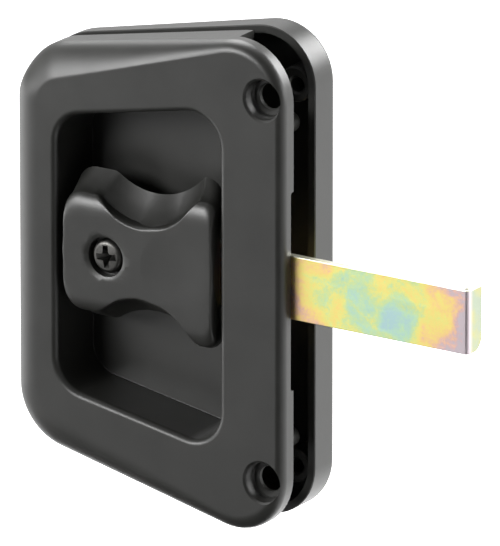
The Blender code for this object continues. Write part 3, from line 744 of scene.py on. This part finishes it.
def bar_section(depth, low_z, high_z):
    """The strip's section as (inset from the front face, z), with bevelled edges."""
    bevel = BAR_BEVEL
    return [
        (0, low_z + bevel), (0, high_z - bevel), (bevel / 3, high_z - bevel / 3), (bevel, high_z),
        (depth - bevel, high_z), (depth - bevel / 3, high_z - bevel / 3), (depth, high_z - bevel),
        (depth, low_z + bevel), (depth - bevel / 3, low_z + bevel / 3), (depth - bevel, low_z),
        (bevel, low_z), (bevel / 3, low_z + bevel / 3),
    ]


def set_in(x, y, angle, inset):
    """A point behind the strip's front. Round the bend the strip's rear is tighter than its front."""
    bend = (BAR_HIGH.x - BAR_BEND_RADIUS, BAR_LOW.y + BAR_BEND_RADIUS)
    if x <= bend[0] or y >= bend[1]:
        return x - inset * cos(angle), y - inset * sin(angle)
    share = inset / BAR_THICKNESS
    rear = BAR_THICKNESS + BAR_INNER_RADIUS
    rear_x = BAR_HIGH.x - rear + BAR_INNER_RADIUS * cos(angle)
    rear_y = BAR_LOW.y + rear + BAR_INNER_RADIUS * sin(angle)
    return x + (rear_x - x) * share, y + (rear_y - y) * share


def latch_bar(material):
    """Sections along the strip, round its bend and down its flange, whose lower corner is rounded off."""
    bend = (BAR_HIGH.x - BAR_BEND_RADIUS, BAR_LOW.y + BAR_BEND_RADIUS)
    stations = [(BAR_LOW.x, BAR_LOW.y, -pi / 2)]
    stations += [(bend[0] * s, BAR_LOW.y, -pi / 2) for s in BAR_SHARES]
    for turned in quarter_turns(BAR_BEND_STEPS):
        angle = turned - pi / 2
        x = bend[0] + BAR_BEND_RADIUS * cos(angle)
        stations.append((x, bend[1] + BAR_BEND_RADIUS * sin(angle), angle))
    flange_end = BAR_HIGH.y
    for step in range(1, FLANGE_STEPS + 1):
        stations.append((BAR_HIGH.x, bend[1] + (flange_end - bend[1]) * step / FLANGE_STEPS, 0))
    rings = []
    for x, y, angle in stations:
        low_z = BAR_LOW.z
        reach = y - (flange_end - FLANGE_CORNER)
        if reach > 0:
            low_z += FLANGE_CORNER - leg(FLANGE_CORNER, min(reach, FLANGE_CORNER * FLANGE_CORNER_SHARE))
        section = bar_section(BAR_THICKNESS, low_z, BAR_HIGH.z)
        rings.append([(*set_in(x, y, angle, inset), z) for inset, z in section])
    bar = loft("latch_bar_strip", rings)
    square = SQUARE_HOLE_HALF
    hole_low = (-square, BAR_LOW.y - BEYOND, -square)
    hole_high = (square, BAR_LOW.y + BAR_THICKNESS + BEYOND, square)
    hole = slab("bar_hole", hole_low, hole_high)
    return finish_surface(carve(bar, [(hole, "DIFFERENCE")]), material, BAR_SHARP_DEGREES)


def cross_outline(span, width, turn):
    """A plus sign with rounded inner corners."""
    long, short = span / 2, width / 2
    fillet = width * CROSS_FILLET
    middle = short + fillet * CROSS_FILLET
    arm = [(short, long), (short, short + fillet), (middle, middle)]
    arm += [(short + fillet, short), (long, short)]
    points = []
    for quarter in range(4):
        angle = turn - pi / 2 * quarter
        points += [(x * cos(angle) - z * sin(angle), x * sin(angle) + z * cos(angle)) for x, z in arm]
    return points


def lever_screw(name, top_y, tip_y, material):
    inward = 1 if tip_y > top_y else -1
    seat_y = top_y + inward * HEAD_HEIGHT
    crown_radius = HEAD_RADIUS - HEAD_CORNER
    profile = [(HEAD_MIDDLE, top_y)]
    for share in CROWN_SHARES:
        profile.append((crown_radius * share, top_y + inward * HEAD_CROWN * share * share))
    for angle in quarter_turns(HEAD_STEPS):
        depth = HEAD_CROWN + (HEAD_HEIGHT * HEAD_EDGE_SHARE - HEAD_CROWN) * (1 - cos(angle))
        profile.append((crown_radius + HEAD_CORNER * sin(angle), top_y + inward * depth))
    profile += [(HEAD_RADIUS, seat_y), (SHANK_RADIUS, seat_y)]
    turns = int(abs(tip_y - seat_y) / THREAD_PITCH)
    for turn in range(turns):
        y = seat_y + inward * THREAD_PITCH * (turn + 0.5)
        profile += [(SHANK_RADIUS - THREAD_DEPTH, y - inward * THREAD_HALF)]
        profile += [(SHANK_RADIUS, y + inward * THREAD_HALF)]
    profile.append((SHANK_RADIUS - SHANK_TIP_CHAMFER, tip_y))
    screw = lathe(name, (0, 0), profile, SCREW_STEPS)
    deep = cross_outline(CROSS_SPAN * CROSS_DEEP_SPAN, CROSS_WIDTH * CROSS_DEEP_WIDTH, CROSS_TURN)
    mouth = cross_outline(CROSS_SPAN, CROSS_WIDTH, CROSS_TURN)
    flared = cross_outline(CROSS_SPAN * CROSS_FLARE_SPAN, CROSS_WIDTH * CROSS_FLARE_WIDTH, CROSS_TURN)
    cross = loft(f"{name}_cross", [
        level(deep, top_y + inward * CROSS_DEPTH),
        level(mouth, top_y + inward * CROSS_MOUTH_DEPTH),
        level(flared, top_y - inward * CROSS_FLARE_HEIGHT),
    ])
    return finish_surface(carve(screw, [(cross, "DIFFERENCE")]), material)


# Materials: every one is worked out in the object's own space, where coordinates are in metres

class Graph:
    """A material's nodes, joined by name."""

    def __init__(self, name):
        self.material = bpy.data.materials.new(name)
        self.material.use_nodes = True
        self.tree = self.material.node_tree
        self.shader = self.tree.nodes["Principled BSDF"]
        self.place = self.add("ShaderNodeTexCoord").outputs["Object"]

    def add(self, kind, inputs=None, **settings):
        made = self.tree.nodes.new(kind)
        for name, value in settings.items():
            setattr(made, name, value)
        for name, value in (inputs or {}).items():
            self.feed(made.inputs[name], value)
        return made

    def feed(self, socket, value):
        if isinstance(value, bpy.types.NodeSocket):
            self.tree.links.new(value, socket)
        else:
            socket.default_value = value

    def noise(self, scale, detail, roughness=0.5, distortion=0.0, place=None):
        inputs = {
            "Vector": place or self.place,
            "Scale": scale,
            "Detail": detail,
            "Roughness": roughness,
            "Distortion": distortion,
        }
        return self.add("ShaderNodeTexNoise", inputs).outputs["Fac"]

    def maths(self, operation, first, second=0.0):
        made = self.add("ShaderNodeMath", operation=operation)
        self.feed(made.inputs[0], first)
        self.feed(made.inputs[1], second)
        return made.outputs[0]

    def total(self, first, second):
        return self.maths("ADD", first, second)

    def scaled(self, value, factor):
        return self.maths("MULTIPLY", value, factor)

    def around_zero(self, noise, height):
        """Noise that averages 0 in place of a half."""
        return self.scaled(self.maths("SUBTRACT", noise, 0.5), height)

    def span(self, value, low, high, new_low=0.0, new_high=1.0):
        inputs = {"Value": value, "From Min": low, "From Max": high, "To Min": new_low, "To Max": new_high}
        return self.add("ShaderNodeMapRange", inputs).outputs["Result"]

    def ramp(self, value, stops):
        made = self.add("ShaderNodeValToRGB", {"Fac": value})
        elements = made.color_ramp.elements
        while len(elements) < len(stops):
            elements.new(0.5)
        for element, (position, colour) in zip(elements, stops):
            element.position = position
            element.color = (*colour, 1.0)
        return made.outputs["Color"]

    def blend(self, share, first, second):
        """Two colours mixed. The mix node's own sockets for colours are its seventh and eighth."""
        made = self.add("ShaderNodeMix", data_type="RGBA")
        for index, value in ((0, share), (6, first), (7, second)):
            self.feed(made.inputs[index], value)
        return made.outputs[2]

    def bump(self, height, strength, distance):
        inputs = {"Height": height, "Strength": strength, "Distance": distance}
        self.feed(self.shader.inputs["Normal"], self.add("ShaderNodeBump", inputs).outputs["Normal"])

    def surface(self, **sockets):
        for name, value in sockets.items():
            self.feed(self.shader.inputs[name.replace("_", " ")], value)
        return self.material


def black_plastic():
    """Injection-moulded black plastic with a fine spark-eroded grain and faint flow mottling."""
    graph = Graph("satin_black_plastic")
    mottle = graph.noise(scale=110, detail=4, roughness=0.6)
    grain = graph.noise(scale=3200, detail=2, roughness=0.6)
    tone = graph.total(graph.scaled(mottle, 0.7), graph.scaled(grain, 0.3))
    colour = graph.ramp(tone, [(0.3, (0.013, 0.0131, 0.0118)), (0.7, (0.020, 0.0201, 0.0183))])
    roughness = graph.span(tone, 0.3, 0.7, new_low=0.35, new_high=0.44)
    graph.bump(graph.total(grain, graph.scaled(mottle, 0.4)), strength=0.22, distance=0.00004)
    return graph.surface(Base_Color=colour, Roughness=roughness, Metallic=0.0)


def zinc_plate():
    """Yellow-chromated zinc: the film's thickness, and so its colour, changes in soft patches.

    The film is thinnest, and blue-green, at a middle point. It thickens to yellow, orange and grey away from
    it. The flange and the top edge are paler: a painted reflection on the flange and a painted highlight on
    the top edge.
    """
    graph = Graph("iridescent_zinc_plate")
    parts = graph.add("ShaderNodeSeparateXYZ", {"Vector": graph.place}).outputs
    left = graph.span(parts["X"], FILM_MIDDLE_X, FILM_LEFT_X, new_high=FILM_LEFT)
    right = graph.span(parts["X"], FILM_MIDDLE_X, BAR_HIGH.x * MM, new_high=FILM_RIGHT)
    across = graph.maths("MAXIMUM", left, right)
    down = graph.scaled(graph.maths("ABSOLUTE", graph.total(parts["Z"], -FILM_MIDDLE_Z)), FILM_PER_METRE)
    squares = graph.total(graph.maths("POWER", across, 2.0), graph.maths("POWER", down, 2.0))
    patches = graph.around_zero(graph.noise(scale=140, detail=3, roughness=0.6, distortion=0.6), height=1.3)
    speckle = graph.around_zero(graph.noise(scale=1500, detail=3, roughness=0.7), height=0.42)
    film = graph.total(graph.total(graph.maths("SQRT", squares), patches), speckle)
    colour = graph.ramp(film, [
        (0.00, (0.45, 0.66, 0.66)),
        (0.16, (0.50, 0.74, 0.55)),
        (0.30, (0.62, 0.77, 0.38)),
        (0.44, (0.84, 0.80, 0.26)),
        (0.58, (0.92, 0.75, 0.24)),
        (0.70, (0.93, 0.66, 0.28)),
        (0.82, (0.86, 0.55, 0.38)),
        (0.92, (0.70, 0.49, 0.50)),
        (1.00, (0.60, 0.52, 0.56)),
    ])
    # Painted reflection: where the strip turns back into its flange, a duller colour stands in for what that
    # face reflects
    front = BAR_LOW.y * MM
    behind_bend = graph.span(parts["Y"], front + FLANGE_FADE_START, front + FLANGE_FADE_END)
    at_end = graph.span(parts["X"], FLANGE_FADE_LEFT_X, FLANGE_FADE_RIGHT_X)
    flange = graph.maths("MULTIPLY", behind_bend, at_end)
    flange_reflection_cloud = graph.noise(scale=260, detail=2)
    flange_reflection = graph.ramp(flange_reflection_cloud, [(0.38, (0.42, 0.41, 0.20)), (0.58, (0.33, 0.38, 0.29))])
    # Painted highlight: the strip's top edge gets a pale colour that stands in for the bright studio it
    # reflects
    top_z = BAR_HIGH.z * MM
    top = graph.span(parts["Z"], top_z - TOP_FADE_START, top_z - TOP_FADE_END)
    top_highlight_cloud = graph.noise(scale=500, detail=2)
    pale = graph.ramp(top_highlight_cloud, [(0.3, (0.80, 0.78, 0.56)), (0.7, (0.92, 0.92, 0.82))])
    colour = graph.blend(top, graph.blend(flange, colour, flange_reflection), pale)
    along_strip = {"Vector": graph.place, "Scale": ROLLING_SCALE}
    rolled = graph.add("ShaderNodeMapping", along_strip).outputs[0]
    scratches = graph.noise(scale=1.0, detail=3, roughness=0.6, place=rolled)
    roughness = graph.span(scratches, 0.3, 0.7, new_low=0.30, new_high=0.44)
    graph.bump(graph.total(scratches, graph.noise(scale=1800, detail=2)), strength=0.15, distance=0.00003)
    return graph.surface(Base_Color=colour, Roughness=roughness, Metallic=0.85)


def metal(name, dark, light, rough, grain_scale):
    """Plain or blackened steel with a fine machined grain."""
    graph = Graph(name)
    grain = graph.noise(scale=grain_scale, detail=4, roughness=0.65)
    cloud = graph.noise(scale=grain_scale / CLOUD_SIZE, detail=3)
    tone = graph.scaled(graph.total(grain, cloud), 0.5)
    colour = graph.ramp(tone, [(0.35, dark), (0.65, light)])
    roughness = graph.span(tone, 0.35, 0.65, rough - ROUGHNESS_CHANGE, rough + ROUGHNESS_CHANGE)
    graph.bump(grain, strength=0.25, distance=0.00003)
    return graph.surface(Base_Color=colour, Roughness=roughness, Metallic=1.0)


def nylon():
    """Natural nylon with soft cloudiness."""
    graph = Graph("natural_nylon")
    cloud = graph.noise(scale=260, detail=4, roughness=0.6)
    colour = graph.ramp(cloud, [(0.3, (0.50, 0.49, 0.43)), (0.7, (0.66, 0.65, 0.60))])
    roughness = graph.span(cloud, 0.3, 0.7, new_low=0.42, new_high=0.58)
    graph.bump(graph.noise(scale=2600, detail=2), strength=0.2, distance=0.00003)
    return graph.surface(Base_Color=colour, Roughness=roughness)


# Studio

def studio_floor():
    """A pale floor that glows behind the latch and is nearly dark in front of it."""
    shape_data = bmesh.new()
    bmesh.ops.create_grid(shape_data, x_segments=1, y_segments=1, size=FLOOR_SIZE / 2)
    floor = linked("studio_floor", shape_data)
    floor.location = (0, 0, PULL_LOW.z * MM - FLOOR_DROP)
    graph = Graph("pale_floor")
    cloud = graph.noise(scale=3, detail=2)
    shade = graph.ramp(cloud, [(0.0, (0.93, 0.93, 0.93)), (1.0, (0.95, 0.95, 0.95))])
    behind = graph.add("ShaderNodeSeparateXYZ", {"Vector": graph.place}).outputs["Y"]
    glow = graph.span(behind, FLOOR_FRONT_Y, FLOOR_BACK_Y, FLOOR_FRONT_GLOW, FLOOR_BACK_GLOW)
    floor.data.materials.append(graph.surface(
        Base_Color=shade,
        Roughness=0.9,
        Emission_Color=WHITE,
        Emission_Strength=glow,
    ))


def direction(azimuth, elevation):
    """Azimuth 0 is straight in front of the latch, and positive to its right."""
    turn, rise = radians(azimuth), radians(elevation)
    return Vector((sin(turn) * cos(rise), -cos(turn) * cos(rise), sin(rise)))


def aimed(thing, azimuth, elevation, distance):
    """Place a light or a card round the latch, facing it."""
    way = direction(azimuth, elevation)
    thing.location = CAMERA_AIM + way * distance
    thing.rotation_mode = "QUATERNION"
    thing.rotation_quaternion = (-way).to_track_quat("-Z", "Y")
    thing.visible_camera = False


def soft_light(name, azimuth, elevation, distance, size, radiance):
    data = bpy.data.lights.new(name, "AREA")
    data.shape = "RECTANGLE"
    data.size, data.size_y = size
    data.energy = radiance * size[0] * size[1] * pi
    data.spread = LIGHT_SPREAD
    lamp = bpy.data.objects.new(name, data)
    bpy.context.scene.collection.objects.link(lamp)
    aimed(lamp, azimuth, elevation, distance)


def black_card(name, azimuth, elevation, distance, size):
    """A dark card the camera doesn't see, which keeps part of the room out of the latch's reflections."""
    shape_data = bmesh.new()
    stretch = Matrix.Diagonal((*size, 1, 1))
    bmesh.ops.create_grid(shape_data, x_segments=1, y_segments=1, size=0.5, matrix=stretch)
    card = linked(name, shape_data)
    aimed(card, azimuth, elevation, distance)
    graph = Graph("black_card")
    cloud = graph.noise(scale=20, detail=2)
    shade = graph.ramp(cloud, [(0.0, (0.015, 0.015, 0.015)), (1.0, (0.02, 0.02, 0.02))])
    card.data.materials.append(graph.surface(Base_Color=shade, Roughness=0.95))


def studio_world():
    """White behind the latch, and dimmer in front of it."""
    world = bpy.data.worlds.new("studio")
    bpy.context.scene.world = world
    world.use_nodes = True
    tree = world.node_tree
    way = tree.nodes.new("ShaderNodeTexCoord")
    parts = tree.nodes.new("ShaderNodeSeparateXYZ")
    span = tree.nodes.new("ShaderNodeMapRange")
    tree.links.new(way.outputs["Generated"], parts.inputs["Vector"])
    tree.links.new(parts.outputs["Y"], span.inputs["Value"])
    span.inputs["From Min"].default_value = -WORLD_REACH
    span.inputs["From Max"].default_value = WORLD_REACH
    span.inputs["To Min"].default_value = WORLD_FRONT
    span.inputs["To Max"].default_value = WORLD_BACK
    background = tree.nodes["Background"]
    background.inputs["Color"].default_value = WHITE
    tree.links.new(span.outputs["Result"], background.inputs["Strength"])


def camera():
    data = bpy.data.cameras.new("camera")
    data.lens = CAMERA_LENS
    data.sensor_width = CAMERA_SENSOR
    distance = PICTURE_HEIGHT_M * CAMERA_LENS / CAMERA_SENSOR
    data.clip_end = CAMERA_CLIP_END
    eye = bpy.data.objects.new("camera", data)
    way = Vector((
        sin(CAMERA_AZIMUTH) * cos(CAMERA_ELEVATION),
        -cos(CAMERA_AZIMUTH) * cos(CAMERA_ELEVATION),
        sin(CAMERA_ELEVATION),
    ))
    eye.location = CAMERA_AIM + way * distance
    eye.rotation_euler = (pi / 2 - CAMERA_ELEVATION, 0, CAMERA_AZIMUTH)
    bpy.context.scene.collection.objects.link(eye)
    bpy.context.scene.camera = eye


camera()
studio_world()
studio_floor()
soft_light("key", azimuth=-36, elevation=19, distance=1.3, size=(1.0, 0.38), radiance=3.6)
soft_light("overhead", azimuth=-125, elevation=55, distance=1.3, size=(1.1, 0.8), radiance=2.0)
soft_light("left", azimuth=-80, elevation=-7, distance=1.0, size=(0.8, 0.4), radiance=0.65)
soft_light("right", azimuth=112, elevation=8, distance=1.3, size=(1.0, 0.6), radiance=0.8)
soft_light("behind_right", azimuth=153, elevation=27, distance=1.3, size=(0.8, 0.7), radiance=2.8)
black_card("black_card", azimuth=17, elevation=-14, distance=0.45, size=(0.54, 0.40))
black_card("under_card", azimuth=-30, elevation=-68, distance=0.24, size=(0.40, 0.30))

BLACK = black_plastic()
ZINC = zinc_plate()
BLACKENED = metal(
    "blackened_steel",
    dark=(0.060, 0.059, 0.056),
    light=(0.115, 0.113, 0.108),
    rough=0.42,
    grain_scale=1500,
)
STEEL = metal("plain_steel", dark=(0.36, 0.36, 0.37), light=(0.52, 0.52, 0.53), rough=0.34, grain_scale=1200)
NYLON = nylon()

place(inside_pull(BLACK), "pulls", "inside_pull", "black_plastic")
place(outside_pull(BLACK), "pulls", "outside_pull", "black_plastic")
place(inside_lever(BLACK), "latch", "inside_lever", "black_plastic")
place(outside_lever(BLACK), "latch", "outside_lever", "black_plastic")
place(latch_bar(ZINC), "latch", "latch_bar", "zinc_plate")
front_screw = lever_screw("inside_lever_pan_screw", SCREW_LOW.y, SCREW_HIGH.y, BLACKENED)
place(front_screw, "latch", "inside_lever_screw", "dark_steel")
back_screw = lever_screw("outside_lever_pan_screw", BACK_SCREW_HIGH.y, BACK_SCREW_LOW.y, BLACKENED)
place(back_screw, "latch", "outside_lever_screw", "dark_steel")

CARRIED_OVER = {"pivot_spindle": STEEL, "friction_washer": STEEL, "inside_bush": NYLON, "outside_bush": NYLON}
for node, node_material in CARRIED_OVER.items():
    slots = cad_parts[node].data.materials
    slots.clear()
    slots.append(node_material)

bpy.context.scene.view_settings.view_transform = "Standard"
